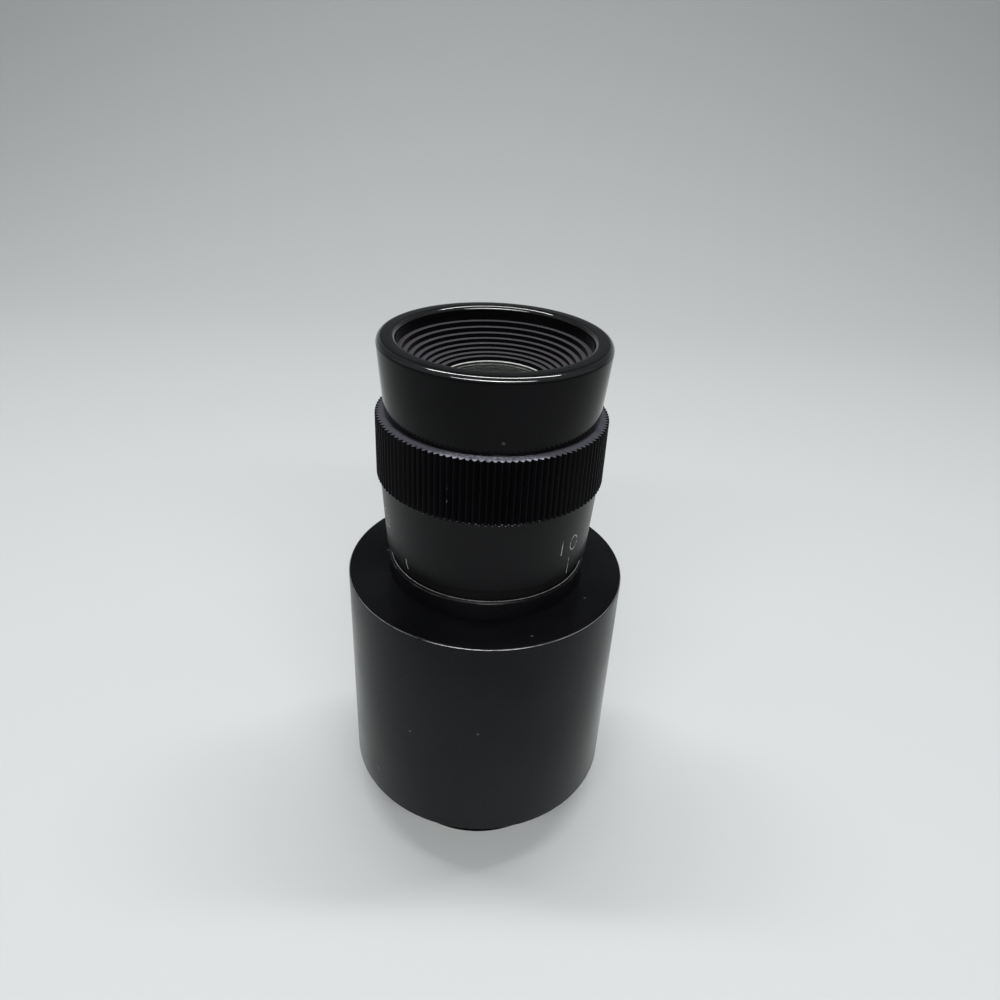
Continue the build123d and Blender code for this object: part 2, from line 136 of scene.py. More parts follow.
def blend_colour(tree, share, first, second):
    """A blend of two colours."""
    values = {0: share, 6: first, 7: second}
    return add_node(tree, "ShaderNodeMix", values, data_type="RGBA").outputs[2]


def object_noise(tree, scale, detail=3.0, roughness=0.5):
    """Noise that is fixed to the piece, with its scale in features per metre."""
    where = add_node(tree, "ShaderNodeTexCoord").outputs["Object"]
    values = {"Vector": where, "Scale": scale, "Detail": detail, "Roughness": roughness}
    return add_node(tree, "ShaderNodeTexNoise", values).outputs[0]


def new_effect(name, inputs, output):
    """A node group with float inputs and one float output, and its two end nodes."""
    group = bpy.data.node_groups.new(name, "ShaderNodeTree")
    for label, value in inputs.items():
        socket = group.interface.new_socket(label, in_out="INPUT", socket_type="NodeSocketFloat")
        socket.default_value = value
    group.interface.new_socket(output, in_out="OUTPUT", socket_type="NodeSocketFloat")
    group_start = group.nodes.new("NodeGroupInput")
    group_end = group.nodes.new("NodeGroupOutput")
    return group, group_start.outputs, group_end.inputs


def effect(tree, group, values=()):
    """The output of a node group that is placed in a material."""
    return add_node(tree, "ShaderNodeGroup", values, node_tree=group).outputs[0]


def object_place(tree):
    """X, Y and Z of the surface point, in millimetres."""
    where = add_node(tree, "ShaderNodeTexCoord").outputs["Object"]
    values = {0: where, "Scale": 1 / mm}
    scaled = add_node(tree, "ShaderNodeVectorMath", values, operation="SCALE").outputs[0]
    return add_node(tree, "ShaderNodeSeparateXYZ", {0: scaled}).outputs


def turned_place(tree):
    """The surface point's distance from the axis and its level, in millimetres."""
    across, along, level = object_place(tree)
    along_square = calculate(tree, "MULTIPLY", along, along)
    squares = calculate(tree, "MULTIPLY_ADD", across, across, along_square)
    return calculate(tree, "SQRT", squares), level


# Edge wear: anodising rubbed through along a turned edge, ragged and in broken runs; the same mask
# also places painted glints on edges
ragged_scale = 1500.0
run_scale = 140.0
edge_wear_and_glint, wear_in, wear_out = new_effect(
    "edge_wear_and_glint",
    {"Edge Radius": 10.0, "Edge Level": 0.0, "Width": 0.1, "Coverage": 0.5, "Strength": 1.0},
    "Mask",
)
place_radius, place_level = turned_place(edge_wear_and_glint)
from_radius = calculate(edge_wear_and_glint, "SUBTRACT", place_radius, wear_in["Edge Radius"])
from_level = calculate(edge_wear_and_glint, "SUBTRACT", place_level, wear_in["Edge Level"])
level_square = calculate(edge_wear_and_glint, "MULTIPLY", from_level, from_level)
from_edge = calculate(
    edge_wear_and_glint,
    "SQRT",
    calculate(edge_wear_and_glint, "MULTIPLY_ADD", from_radius, from_radius, level_square),
)
ragged = calculate(edge_wear_and_glint, "ADD", object_noise(edge_wear_and_glint, ragged_scale), 0.5)
reach = calculate(edge_wear_and_glint, "MULTIPLY", wear_in["Width"], ragged)
on_edge = ramp(edge_wear_and_glint, calculate(edge_wear_and_glint, "DIVIDE", from_edge, reach), 1.0, 0.5)
threshold = calculate(edge_wear_and_glint, "SUBTRACT", 1.0, wear_in["Coverage"])
run_noise = object_noise(edge_wear_and_glint, run_scale, 4.0, 0.6)
runs = ramp(edge_wear_and_glint, calculate(edge_wear_and_glint, "SUBTRACT", run_noise, threshold), -0.1, 0.1)
worn_runs = calculate(edge_wear_and_glint, "MULTIPLY", on_edge, runs)
worn_share = calculate(edge_wear_and_glint, "MULTIPLY", worn_runs, wear_in["Strength"])
edge_wear_and_glint.links.new(worn_share, wear_out["Mask"])

# Dust: a few pale specks of mixed size, as shares of their spacing
smallest_speck = 0.012
speck_range = 0.05
dust_specks, dust_in, dust_out = new_effect("dust_specks", {"Spacing": 3.0, "Amount": 0.3}, "Mask")
dust_cells = add_node(
    dust_specks,
    "ShaderNodeTexVoronoi",
    {
        "Vector": add_node(dust_specks, "ShaderNodeTexCoord").outputs["Object"],
        "Scale": calculate(dust_specks, "DIVIDE", 1 / mm, dust_in["Spacing"]),
    },
)
dust_chance, dust_share, _ = add_node(
    dust_specks, "ShaderNodeSeparateColor", {0: dust_cells.outputs["Color"]}
).outputs
speck_size = calculate(dust_specks, "MULTIPLY_ADD", dust_share, speck_range, smallest_speck)
speck_depth = calculate(dust_specks, "DIVIDE", dust_cells.outputs["Distance"], speck_size)
speck_kept = calculate(dust_specks, "LESS_THAN", dust_chance, dust_in["Amount"])
speck_shape = ramp(dust_specks, speck_depth, 1.0, 0.5)
speck_mask = calculate(dust_specks, "MULTIPLY", speck_shape, speck_kept)
dust_specks.links.new(speck_mask, dust_out["Mask"])

# Chip: one small ragged mark at a place in millimetres
chip_ragged_scale = 2500.0
small_chip, chip_in, chip_out = new_effect(
    "small_chip",
    {"X": 0.0, "Y": 0.0, "Z": 0.0, "Size": 0.2},
    "Mask",
)
chip_squares = 0.0
for axis_place, axis_name in zip(object_place(small_chip), ("X", "Y", "Z")):
    from_chip = calculate(small_chip, "SUBTRACT", axis_place, chip_in[axis_name])
    chip_squares = calculate(small_chip, "MULTIPLY_ADD", from_chip, from_chip, chip_squares)
chip_noise = object_noise(small_chip, chip_ragged_scale)
chip_ragged = calculate(small_chip, "MULTIPLY_ADD", chip_noise, 1.6, 0.2)
chip_reach = calculate(small_chip, "MULTIPLY", chip_in["Size"], chip_ragged)
chip_distance = calculate(small_chip, "SQRT", chip_squares)
chip_depth = calculate(small_chip, "DIVIDE", chip_distance, chip_reach)
small_chip.links.new(ramp(small_chip, chip_depth, 1.0, 0.6), chip_out["Mask"])

# Turning marks: fine rings left by the tool, the same all round
turning_marks, marks_in, marks_out = new_effect("turning_marks", {"Pitch": 0.12}, "Height")
marks_radius, marks_level = turned_place(turning_marks)
marks_rings = add_node(turning_marks, "ShaderNodeCombineXYZ", {0: marks_radius, 1: marks_level})
marks_noise = add_node(
    turning_marks,
    "ShaderNodeTexNoise",
    {
        "Vector": marks_rings.outputs[0],
        "Scale": calculate(turning_marks, "DIVIDE", 1.0, marks_in["Pitch"]),
        "Detail": 2.0,
    },
)
turning_marks.links.new(marks_noise.outputs[0], marks_out["Height"])

# Upward faces: where the normal's rise goes from low to high, as on the faces where dust settles
upward_faces, upward_in, upward_out = new_effect("upward_faces", {"Low": 0.7, "High": 0.95}, "Mask")
face_normal = add_node(upward_faces, "ShaderNodeTexCoord").outputs["Normal"]
face_lift = add_node(upward_faces, "ShaderNodeSeparateXYZ", {0: face_normal}).outputs[2]
face_share = ramp(upward_faces, face_lift, upward_in["Low"], upward_in["High"])
upward_faces.links.new(face_share, upward_out["Mask"])

bare_aluminium = (0.74, 0.73, 0.72, 1)
bare_roughness = 0.45
dust_colour = (0.40, 0.38, 0.35, 1)
dust_roughness = 0.9
dust_spacing = 3.0
dust_on_sides = 0.06
more_dust_on_top = 0.26
dust_height = 2.0
smudge_scale = 55.0
smudge_lightening = 1.7
patch_scale = 700.0
grain_scale = 2600.0
tips_from = 1.0
tips_full = 0.3
front_light_even_share = 0.05
front_light_grain_share = 0.45
level_fade = 0.1
bump_distance = 0.02 * mm


def round_the_axis(azimuth, radius, level):
    """A place on a turned face, with its azimuth in degrees from the front, towards the right."""
    return Vector((radius * sin(radians(azimuth)), -radius * cos(radians(azimuth)), level))


def new_finish(name):
    """A new material, with its nodes and its shader."""
    material = bpy.data.materials.new(name)
    material.use_nodes = True
    return material, material.node_tree, material.node_tree.nodes["Principled BSDF"]


def lighter(colour, times):
    """A lighter shade of a colour."""
    return tuple(channel * times for channel in colour[:3]) + (1,)


def wear_and_glint_edges(tree, edges):
    """The mask of edges that are rubbed bright, and of the edges that matt_black paints near-white
    as glints.

    edges: (radius, level, width, coverage, strength) of each
    """
    worn = 0.0
    for radius, level, width, coverage, strength in edges:
        values = {"Edge Radius": radius, "Edge Level": level, "Width": width}
        values |= {"Coverage": coverage, "Strength": strength}
        worn = calculate(tree, "MAXIMUM", effect(tree, edge_wear_and_glint, values), worn)
    return worn


def anodised_black(
    name,
    tone,
    gloss,
    dulled,
    edges=(),
    chips=(),
    scuff_and_top_light=None,
    front_light_and_rub=None,
    marks=(0.12, 0.10),
    shine=0.12,
    polished=None,
):
    """Black anodising with smudges, turning marks and dust.

    edges: the edges that are rubbed bright, as in wear_and_glint_edges
    chips: (azimuth, radius, level, size, strength) of single specks
    scuff_and_top_light: (colour, roughness, low, high, ceiling), a grey on the faces that look up
    and lie below the ceiling, in patches where a noise goes from low to high; a rubbed grey on the
    grip, and painted light from above on the hood's treads
    front_light_and_rub: (times, radius, faded, full), painted front light on the rubbed grain: how
    many times lighter the grey is painted at the front, most of all near a radius, and the
    distances in front of the axis over which it gets there
    marks: the pitch and the depth of the turning marks
    shine: how strongly it reflects, seen straight on
    polished: the level above which the rounded corners are polished
    """
    material, tree, surface = new_finish(name)
    smudge = ramp(tree, object_noise(tree, smudge_scale, 2.0), 0.3, 0.7)
    facing_up = effect(tree, upward_faces)
    colour = blend_colour(tree, smudge, tone, lighter(tone, smudge_lightening))
    rough = blend_value(tree, smudge, gloss, dulled)
    if scuff_and_top_light:
        rub_and_light_grey, scuff_rough, low, high, ceiling = scuff_and_top_light
        # Painted light: the rubbed grey is made lighter towards the front, where the front lamp
        # falls.
        if front_light_and_rub:
            times, tip_radius, faded, full = front_light_and_rub
            front_light = ramp(tree, object_place(tree)[1], -faded, -full)
            grain = ramp(tree, object_noise(tree, grain_scale, 3.0, 0.7), 0.40, 0.65)
            tips = (tip_radius - tips_from, tip_radius - tips_full)
            outward = ramp(tree, turned_place(tree)[0], *tips)
            uneven = calculate(tree, "ADD", grain, outward)
            bright = calculate(tree, "MULTIPLY_ADD", uneven, front_light_grain_share, front_light_even_share)
            front_light_share = calculate(tree, "MULTIPLY", front_light, bright)
            rub_and_light_grey = blend_colour(tree, front_light_share, rub_and_light_grey, lighter(rub_and_light_grey, times))
        patches = ramp(tree, object_noise(tree, patch_scale, 6.0, 0.7), low, high)
        below = ramp(tree, turned_place(tree)[1], ceiling, ceiling - level_fade)
        patchy = calculate(tree, "MULTIPLY", facing_up, patches)
        rub_and_light_mask = calculate(tree, "MULTIPLY", patchy, below)
        colour = blend_colour(tree, rub_and_light_mask, colour, rub_and_light_grey)
        rough = blend_value(tree, rub_and_light_mask, rough, scuff_rough)
    amount = calculate(tree, "MULTIPLY_ADD", facing_up, more_dust_on_top, dust_on_sides)
    dusty = effect(tree, dust_specks, {"Spacing": dust_spacing, "Amount": amount})
    for azimuth, radius, level, size, strength in chips:
        place = round_the_axis(azimuth, radius, level)
        chip = effect(tree, small_chip, {"X": place.x, "Y": place.y, "Z": place.z, "Size": size})
        dusty = calculate(tree, "MAXIMUM", dusty, calculate(tree, "MULTIPLY", chip, strength))
    if edges:
        worn = wear_and_glint_edges(tree, edges)
        colour = blend_colour(tree, worn, colour, bare_aluminium)
        rough = blend_value(tree, worn, rough, bare_roughness)
        bare = calculate(tree, "MULTIPLY", worn, calculate(tree, "SUBTRACT", 1.0, dusty))
        tree.links.new(bare, surface.inputs["Metallic"])
    colour = blend_colour(tree, dusty, colour, dust_colour)
    tree.links.new(colour, surface.inputs["Base Color"])
    tree.links.new(blend_value(tree, dusty, rough, dust_roughness), surface.inputs["Roughness"])
    surface.inputs["Specular IOR Level"].default_value = shine
    if polished:
        above = ramp(tree, turned_place(tree)[1], polished - level_fade, polished + level_fade)
        rising = effect(tree, upward_faces, {"Low": 0.2, "High": 0.45})
        flat = effect(tree, upward_faces, {"Low": 0.9, "High": 0.985})
        rounded = calculate(tree, "SUBTRACT", rising, flat)
        tree.links.new(calculate(tree, "MULTIPLY", above, rounded), surface.inputs["Coat Weight"])
        surface.inputs["Coat Roughness"].default_value = 0.06
        surface.inputs["Coat IOR"].default_value = 1.8
    pitch, depth = marks
    rings = effect(tree, turning_marks, {"Pitch": pitch})
    height = calculate(tree, "MULTIPLY_ADD", dusty, dust_height, rings)
    values = {"Height": height, "Strength": depth, "Distance": bump_distance}
    bump = add_node(tree, "ShaderNodeBump", values)
    tree.links.new(bump.outputs[0], surface.inputs["Normal"])
    return material


barrel = turned(
    "barrel_turning",
    [
        (light_bore_radius, 0, edge_rounding),
        (spigot_radius - spigot_edge, 0, edge_rounding),
        (spigot_radius, spigot_edge, edge_rounding),
        (spigot_radius, barrel_low, edge_rounding),
        (barrel_radius - barrel_edge, barrel_low, edge_rounding),
        (barrel_radius, barrel_low + barrel_edge, edge_rounding),
        (barrel_radius, barrel_top - barrel_edge, edge_rounding),
        (barrel_radius - barrel_edge, barrel_top, edge_rounding),
        (mount_thread_radius, barrel_top, edge_rounding),
        (mount_thread_radius, barrel_top - mount_thread_depth, 0),
        (light_bore_radius, barrel_top - mount_thread_depth, 0),
    ],
)
barrel.data.materials.append(
    anodised_black(
        "barrel_gloss_black",
        tone=(0.0035, 0.0036, 0.0045, 1),
        gloss=0.16,
        dulled=0.30,
        edges=[
            (barrel_radius - barrel_edge / 2, barrel_top - barrel_edge / 2, 0.07, 0.58, 0.4),
            (barrel_radius - barrel_edge / 2, barrel_low + barrel_edge / 2, 0.07, 0.34, 0.5),
        ],
        chips=[
            (-28.5, barrel_radius, 30.2, 0.22, 0.2),
            (0.0, barrel_radius, 33.2, 0.24, 0.2),
            (21.0, 21.6, barrel_top, 0.26, 0.12),
            (60.1, 19.5, barrel_top, 0.24, 0.12),
        ],
    )
)
# Painted shade: the spigot is painted darker and duller, for the shade under the barrel.
barrel.data.materials.append(
    anodised_black(
        "spigot_painted_shade_black",
        tone=(0.0010, 0.0010, 0.0012, 1),
        gloss=0.50,
        dulled=0.62,
        marks=(0.5, 0.5),
        shine=0.03,
    )
)
for face in barrel.data.polygons:
    face.material_index = int(face.center.z < (barrel_low - edge_rounding) * mm)
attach(barrel, "housing")
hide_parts("adapter_barrel")


# Lock collar: a plain ring screwed down on the barrel to lock the lens tube.
# It is turned aluminium, anodised black, and fingers have worn its top edge to bright metal.
collar_radius = 16.9
collar_top = 54.6
collar_edge = 0.35
collar = turned(
    "collar_turning",
    [
        (mount_thread_radius, barrel_top, 0),
        (collar_radius, barrel_top, edge_rounding),
        (collar_radius, collar_top - collar_edge, edge_rounding),
        (collar_radius - collar_edge, collar_top, edge_rounding),
        (mount_thread_radius, collar_top, 0),
    ],
)
collar.data.materials.append(
    anodised_black(
        "collar_black",
        tone=(0.0035, 0.0035, 0.0042, 1),
        gloss=0.22,
        dulled=0.36,
        edges=[
            (collar_radius - collar_edge, collar_top, 0.07, 0.64, 1.0),
            (collar_radius, collar_top - collar_edge, 0.05, 0.42, 0.3),
        ],
    )
)
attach(collar, "housing")
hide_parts("lock_collar")


# Lens tube: turned aluminium, anodised satin black, and only its neck shows above the collar.
# The control ring turns on its outside, and the iris and both lens cells are screwed into it.
def finish_node(name, *materials):
    """Gives a CAD node its materials."""
    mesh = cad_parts[name].data
    mesh.materials.clear()
    for material in materials:
        mesh.materials.append(material)
    return mesh


finish_node("lens_tube", anodised_black("tube_satin_black", (0.003, 0.003, 0.0035, 1), 0.32, 0.45))


# Rear group: a cemented doublet in a threaded cell, held by a slotted ring.
# The metal is matt black against stray light, and the glass is polished and coated.
# Near-white for edges: burnish, painted bright as a glint.
burnish_and_glint_white = (0.88, 0.88, 0.85, 1)
matt_patch_scale = 90.0
matt_lightening = 1.8
matt_roughening = 0.12
matt_grain_scale = 2500.0


def matt_black(name, tone, roughness, edges=()):
    """Matt black anodising that must not reflect, with a fine grain and any edges painted
    near-white as painted glints.
    """
    material, tree, surface = new_finish(name)
    patch = ramp(tree, object_noise(tree, matt_patch_scale, 4.0), 0.3, 0.7)
    colour = blend_colour(tree, patch, tone, lighter(tone, matt_lightening))
    rough = calculate(tree, "MULTIPLY_ADD", patch, matt_roughening, roughness)
    if edges:
        colour = blend_colour(tree, wear_and_glint_edges(tree, edges), colour, burnish_and_glint_white)
    tree.links.new(colour, surface.inputs["Base Color"])
    tree.links.new(rough, surface.inputs["Roughness"])
    grain = object_noise(tree, matt_grain_scale, 2.0)
    values = {"Height": grain, "Strength": 0.2, "Distance": bump_distance}
    bump = add_node(tree, "ShaderNodeBump", values)
    tree.links.new(bump.outputs[0], surface.inputs["Normal"])
    return material


glass_dust_colour = (0.62, 0.60, 0.55, 1)
glass_dust_roughness = 0.7
haze_scale = 220.0
clear_roughness = 0.015
haze_roughening = 0.05


def coated_glass(name, tint, index, clearness):
    """Polished optical glass with a faint coating tint, a little haze and some dust."""
    material, tree, surface = new_finish(name)
    haze = ramp(tree, object_noise(tree, haze_scale, 4.0, 0.6), 0.55, 0.8)
    dusty = effect(tree, dust_specks, {"Spacing": 1.6, "Amount": 0.25})
    tree.links.new(blend_colour(tree, dusty, tint, glass_dust_colour), surface.inputs["Base Color"])
    rough = calculate(tree, "MULTIPLY_ADD", haze, haze_roughening, clear_roughness)
    rough = blend_value(tree, dusty, rough, glass_dust_roughness)
    tree.links.new(rough, surface.inputs["Roughness"])
    surface.inputs["Transmission Weight"].default_value = clearness
    surface.inputs["IOR"].default_value = index
    return material


matt_tone = (0.005, 0.005, 0.0055, 1)
inner_metal = matt_black("inner_matt_black", matt_tone, 0.55)
inner_glass = coated_glass("inner_coated_glass", (0.93, 0.94, 0.90, 1), 1.62, 1.0)
finish_node("rear_cell", inner_metal)
finish_node("rear_retainer", inner_metal)
finish_node("rear_flint", inner_glass)
finish_node("rear_crown", inner_glass)


# Iris: eight thin leaves of blued steel between a cup-shaped base and a rotor of black brass.
# Each leaf swings on its rivet as a slot of the rotor carries its far end round.
rolling_scale = 1500.0
rolling_stretch = (1, 0.06, 1)
rolling_lightening = 1.6
rolling_roughening = 0.15


def rolled_metal(name, tone, roughness):
    """Dark sheet metal with faint rolling lines."""
    material, tree, surface = new_finish(name)
    where = add_node(tree, "ShaderNodeTexCoord").outputs["Object"]
    values = {"Vector": where, "Scale": rolling_stretch}
    along = add_node(tree, "ShaderNodeMapping", values).outputs[0]
    values = {"Vector": along, "Scale": rolling_scale, "Detail": 3.0}
    lines = add_node(tree, "ShaderNodeTexNoise", values).outputs[0]
    colour = blend_colour(tree, lines, tone, lighter(tone, rolling_lightening))
    rough = calculate(tree, "MULTIPLY_ADD", lines, rolling_roughening, roughness)
    tree.links.new(colour, surface.inputs["Base Color"])
    tree.links.new(rough, surface.inputs["Roughness"])
    surface.inputs["Metallic"].default_value = 1.0
    return material


leaf_steel = rolled_metal("leaf_blued_steel", (0.12, 0.125, 0.145, 1), 0.42)
for leaf in (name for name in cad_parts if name.startswith("iris_leaf")):
    finish_node(leaf, leaf_steel)
finish_node("iris_rotor", rolled_metal("rotor_black_brass", (0.050, 0.042, 0.030, 1), 0.45))
finish_node("iris_base", inner_metal)
finish_node("iris_retainer", inner_metal)


# Control ring: a serrated grip over a smooth tapered skirt, turned in one and anodised black.
# The grip's top face is rubbed grey and painted much lighter at the front as painted light, and its
# serrations hold some dust.
# A slotted grub screw at the back drives the iris.
grip_radius = 18.65
grip_low = 69.75
grip_top = 80.3
grip_edge = 0.1
rub_and_light_margin = 0.2
ring_tone = (0.0025, 0.0025, 0.0030, 1)
ring_gloss = 0.22
ring_dulled = 0.36
ring_marks = (0.12, 0.04)
ring_mesh = finish_node(
    "control_ring",
    anodised_black("skirt_black", ring_tone, ring_gloss, ring_dulled, marks=ring_marks),
    anodised_black(
        "grip_black",
        ring_tone,
        ring_gloss,
        ring_dulled,
        edges=[(grip_radius - grip_edge / 2, grip_low + grip_edge / 2, 0.12, 0.45, 0.5)],
        chips=[
            (-18.5, grip_radius, 75.2, 0.2, 0.6),
            (-18.7, grip_radius, 73.1, 0.2, 0.8),
            (-15.4, grip_radius, 75.3, 0.2, 0.4),
            (-40.0, grip_radius, 74.3, 0.2, 0.5),
        ],
        scuff_and_top_light=((0.096, 0.096, 0.114, 1), 0.45, 0.15, 0.5, grip_top + rub_and_light_margin),
        # Painted light: the rubbed top face is painted up to eight times lighter at the front.
        front_light_and_rub=(8.0, grip_radius, 15.3, 17.3),
        marks=ring_marks,
        shine=0.05,
    ),
)
for face in ring_mesh.polygons:
    face.material_index = int(face.center.z > grip_low * mm)
finish_node("drive_screw", rolled_metal("screw_black_steel", (0.05, 0.05, 0.052, 1), 0.4))


# Iris scale: figures and ticks engraved in the skirt, with white paint that has partly gone.
# They stand a hair proud here, so that they show as fine light lines.
skirt_low = 57.0
skirt_low_radius = 17.25
skirt_top_radius = 18.1
stroke_radius = 0.12
stroke_sink = 0.10
figure_height = 3.0
tick_height = 3.1
worn_tick_height = 1.8


def skirt_radius(level):
    """The skirt's radius at a level."""
    rise = (level - skirt_low) / (grip_low - skirt_low)
    return skirt_low_radius + (skirt_top_radius - skirt_low_radius) * rise


def engraved(strokes, azimuth, base):
    """Strokes of flat points, made a mesh and then laid round the skirt."""
    curve = bpy.data.curves.new("strokes", "CURVE")
    curve.dimensions = "3D"
    curve.bevel_depth = stroke_radius
    curve.bevel_resolution = 2
    curve.use_fill_caps = True
    for points, closed in strokes:
        spline = curve.splines.new("NURBS")
        spline.points.add(len(points) - 1)
        for point, (across, up) in zip(spline.points, points):
            point.co = (across, up, 0, 1)
        spline.order_u = 3 if len(points) > 2 else 2
        spline.use_cyclic_u = closed
        spline.use_endpoint_u = not closed
    carrier = bpy.data.objects.new("strokes", curve)
    bpy.context.scene.collection.objects.link(carrier)
    drawn = carrier.evaluated_get(bpy.context.evaluated_depsgraph_get())
    mesh = bpy.data.meshes.new_from_object(drawn)
    bpy.data.objects.remove(carrier)
    bpy.data.curves.remove(curve)
    for vertex in mesh.vertices:
        across, up, out = vertex.co
        level = base + up
        radius = skirt_radius(level)
        angle = azimuth + across / radius * 180 / pi
        vertex.co = round_the_axis(angle, radius + out - stroke_sink, level) * mm
    return mesh


tick = [([(0, 0), (0, tick_height)], False)]
worn_tick = [([(0, worn_tick_height), (0, 0.4), (0.5, 0)], False)]
one = [([(0, 0), (0, figure_height)], False)]
nought_points = 8
nought_turns = [2 * pi * point / nought_points for point in range(nought_points)]
nought_ring = [
    (0.95 * cos(turn), figure_height * (0.5 + 0.48 * sin(turn))) for turn in nought_turns
]
nought = [(nought_ring, True)]
five = [
    ([(0.8, figure_height), (-0.7, figure_height)], False),
    ([(-0.7, figure_height), (-0.8, 1.6)], False),
    ([(-0.8, 1.6), (0.1, 2.2), (1.1, 1.7), (1.0, 0.1), (0.0, -0.2), (-0.9, 0.3)], False),
]
scale_shape = bmesh.new()
for figure, azimuth, base in (
    (tick, 49.7, skirt_low),
    (one, 42.5, 61.4),
    (nought, 51.8, 61.3),
    (worn_tick, -47.5, skirt_low),
    (five, -67.5, 61.9),
):
    scale_shape.from_mesh(engraved(figure, azimuth, base))
bmesh.ops.recalc_face_normals(scale_shape, faces=scale_shape.faces[:])
scale_mesh = bpy.data.meshes.new("scale_figures")
scale_shape.to_mesh(scale_mesh)
scale_shape.free()
scale_mesh.shade_smooth()
scale_figures = bpy.data.objects.new("scale_figures", scale_mesh)
bpy.context.scene.collection.objects.link(scale_figures)
groove_black = (0.006, 0.006, 0.007, 1)
groove_roughness = 0.3
paint_white = (0.50, 0.53, 0.50, 1)
paint_roughness = 0.6
paint_loss_scale = 900.0
paint, paint_tree, paint_surface = new_finish("worn_white_fill")
paint_left = ramp(paint_tree, object_noise(paint_tree, paint_loss_scale, 4.0, 0.6), 0.38, 0.54)
paint_tree.links.new(
    blend_colour(paint_tree, paint_left, groove_black, paint_white),
    paint_surface.inputs["Base Color"],
)
paint_tree.links.new(
    blend_value(paint_tree, paint_left, groove_roughness, paint_roughness),
    paint_surface.inputs["Roughness"],
)
paint_surface.inputs["Specular IOR Level"].default_value = 0.25
scale_mesh.materials.append(paint)
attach(scale_figures, "iris_ring")


# Front hood: a flared cup turned from aluminium, with a broad rounded lip and a staircase inside.
# The steps trap stray light. It is anodised black, glossy outside and satin on the treads, which
# are painted lighter grey as painted light from above, and handling has polished the lip's rounded
# corners.
hood_boss_radius = 16.4
hood_boss_low = 80.4
hood_low = 80.7
hood_low_radius = 17.25
hood_low_rounding = 0.12
rim_top = 92.6
rim_radius = 18.25
rim_outer_rounding = 1.09
rim_inner_rounding = 0.8
rim_polish_depth = 1.1
mouth_radius = 15.1
mouth_depth = 2.35
step_count = 8
step_tread = 0.8
first_riser = 0.82
last_riser = 0.33
step_rounding = 0.07
cone_lip = 0.3
cell_bore_radius = 11.6
shank_radius = 14.45
shank_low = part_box("front_hood")[0].z / mm

hood_section = [
    (hood_boss_radius, hood_boss_low, 0),
    (hood_boss_radius, hood_low, 0),
    (hood_low_radius, hood_low, hood_low_rounding),
    (rim_radius, rim_top, rim_outer_rounding),
    (mouth_radius, rim_top, rim_inner_rounding),
]
tread_level = rim_top - mouth_depth
for step in range(step_count):
    hood_section.append((mouth_radius - step * step_tread, tread_level, 0))
    hood_section.append((mouth_radius - (step + 1) * step_tread, tread_level, step_rounding))
    tread_level -= first_riser + (last_riser - first_riser) * step / (step_count - 1)
cone_radius = mouth_radius - step_count * step_tread
cell_top = tread_level - cone_lip
hood_section += [
    (cone_radius, cell_top, 0),
    (cell_bore_radius, cell_top, 0),
    (cell_bore_radius, shank_low, 0),
    (shank_radius, shank_low, edge_rounding),
    (shank_radius, hood_boss_low, 0),
]
hood = turned("hood_turning", hood_section)
hood.data.materials.append(
    anodised_black(
        "hood_black",
        tone=(0.0020, 0.0020, 0.0024, 1),
        gloss=0.08,
        dulled=0.16,
        shine=0.08,
        edges=[(hood_low_radius, hood_low, 0.1, 0.35, 0.5)],
        chips=[(5.8, 17.35, 82.7, 0.32, 0.11)],
        # Painted light: the treads are painted lighter grey than the risers, as lit from above.
        scuff_and_top_light=((0.066, 0.062, 0.069, 1), 0.40, 0.1, 0.4, rim_top - mouth_depth + rub_and_light_margin),
        polished=rim_top - rim_polish_depth,
    )
)
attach(hood, "housing")
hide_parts("front_hood")


# Front group: a thin-lipped cell screwed into the hood, with a domed lens and a hollow second lens.
# The lip is rolled over the glass, and its burnished edge is painted near-white, a painted glint
# that shows as a bright ring.
lip_radius = 8.4
lip_top = 85.35
spacer_radius = 8.55
spacer_top = 82.83
spacer_bore_line = 82.15
finish_node(
    "front_cell",
    matt_black("front_cell_black", matt_tone, 0.5, edges=[(lip_radius, lip_top, 0.15, 0.95, 1.0)]),
)
finish_node("front_lens", coated_glass("front_coated_glass", (0.78, 0.84, 0.78, 1), 1.60, 0.97))
# Painted glints: the spacer's edges are painted near-white for bright arcs seen through the glass.
finish_node(
    "lens_spacer",
    matt_black(
        "spacer_black",
        matt_tone,
        0.5,
        edges=[
            (spacer_radius, spacer_top, 0.16, 0.75, 0.9),
            (spacer_radius, spacer_bore_line, 0.09, 0.55, 0.8),
        ],
    ),
)
finish_node("second_lens", inner_glass)
finish_node("front_retainer", inner_metal)


# Stage: one sheet of pale paper that runs along the floor and bends up behind the object.
# It isn't part of the objective, and its own colour gives the pale background.
sweep_half_width = 2.5
sweep_front = -2.0
sweep_back = 0.9
sweep_height = 2.2
sweep_bend = 0.6
bend_segments = 24
sweep_shape = bmesh.new()
sweep_line = [
    sweep_shape.verts.new((-sweep_half_width, depth, level))
    for depth, level in ((sweep_front, 0), (sweep_back, 0), (sweep_back, sweep_height))
]
for start, end in zip(sweep_line, sweep_line[1:]):
    sweep_shape.edges.new((start, end))
bmesh.ops.bevel(
    sweep_shape,
    geom=[sweep_line[1]],
    offset=sweep_bend,
    offset_type="OFFSET",
    affect="VERTICES",
    segments=bend_segments,
    profile=0.5,
    material=-1,
)
sweep_run = bmesh.ops.extrude_edge_only(sweep_shape, edges=sweep_shape.edges[:])["geom"]
sweep_far = [item for item in sweep_run if isinstance(item, bmesh.types.BMVert)]
bmesh.ops.translate(sweep_shape, vec=(2 * sweep_half_width, 0, 0), verts=sweep_far)
bmesh.ops.recalc_face_normals(sweep_shape, faces=sweep_shape.faces[:])
sweep_mesh = bpy.data.meshes.new("sweep")
sweep_shape.to_mesh(sweep_mesh)
sweep_shape.free()
sweep_mesh.shade_smooth()
sweep = bpy.data.objects.new("sweep", sweep_mesh)
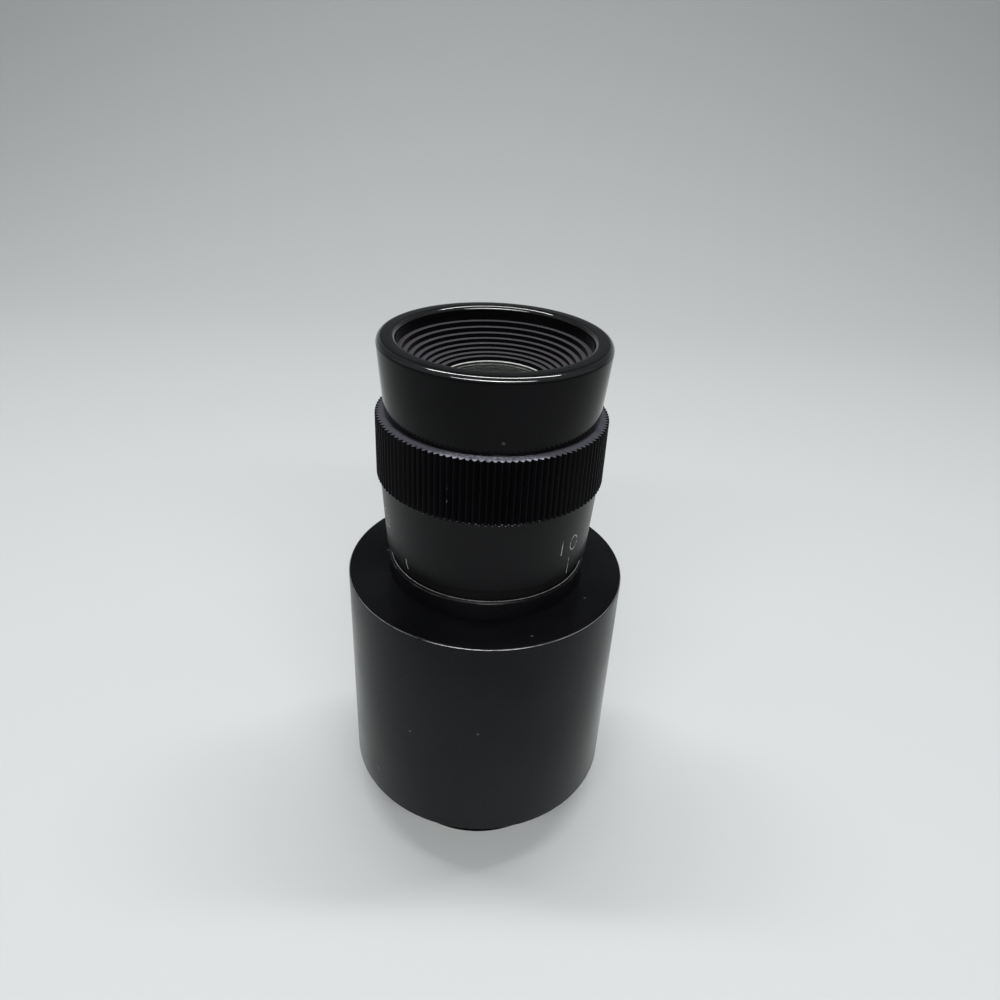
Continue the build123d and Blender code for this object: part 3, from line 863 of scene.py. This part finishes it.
bpy.context.scene.collection.objects.link(sweep)
sweep_paper, _, sweep_surface = new_finish("pale_paper")
sweep_surface.inputs["Base Color"].default_value = (0.64, 0.66, 0.66, 1)
sweep_surface.inputs["Roughness"].default_value = 0.85
sweep_mesh.materials.append(sweep_paper)


# Light: a long soft lamp overhead and a second one in front, with a faint light from all round.
# The lamps draw the two bright lines along the hood's lip.
lamp_aim = Vector((0, 0, 0.08))
for name, place, size, spread, power in (
    ("top_lamp", (0.0, 0.10, 0.70), (0.8, 0.05), 180, 3.4),
    ("front_lamp", (0.0, -0.50, 0.50), (0.9, 0.04), 90, 1.1),
):
    lamp = bpy.data.lights.new(name, "AREA")
    lamp.shape = "RECTANGLE"
    lamp.size, lamp.size_y = size
    lamp.spread = radians(spread)
    lamp.energy = power
    lamp_object = bpy.data.objects.new(name, lamp)
    lamp_object.location = place
    lamp_object.rotation_euler = (lamp_aim - Vector(place)).to_track_quat("-Z", "Y").to_euler()
    bpy.context.scene.collection.objects.link(lamp_object)

world = bpy.data.worlds.new("studio")
world.use_nodes = True
world_light = world.node_tree.nodes["Background"]
world_light.inputs["Color"].default_value = (0.94, 0.97, 0.98, 1)
world_light.inputs["Strength"].default_value = 0.2
bpy.context.scene.world = world
bpy.context.scene.view_settings.view_transform = "Standard"


# Camera: it stands where the photograph was taken from and has the same angle of view.
# Its place, its turns and its lens were fitted to the outlines in the photograph.
camera_place = (0, -0.11649, 0.13070)
camera_pitch = radians(29.922)
camera_yaw = radians(-0.9685)
camera_roll = radians(3.0326)
camera_lens = bpy.data.cameras.new("photo_camera")
camera_lens.sensor_width = 36.0
camera_lens.lens = 28.39
camera = bpy.data.objects.new("photo_camera", camera_lens)
camera.matrix_world = (
    Matrix.Translation(camera_place)
    @ Matrix.Rotation(camera_yaw, 4, "Z")
    @ Matrix.Rotation(pi / 2 - camera_pitch, 4, "X")
    @ Matrix.Rotation(camera_roll, 4, "Z")
)
bpy.context.scene.collection.objects.link(camera)
bpy.context.scene.camera = camera
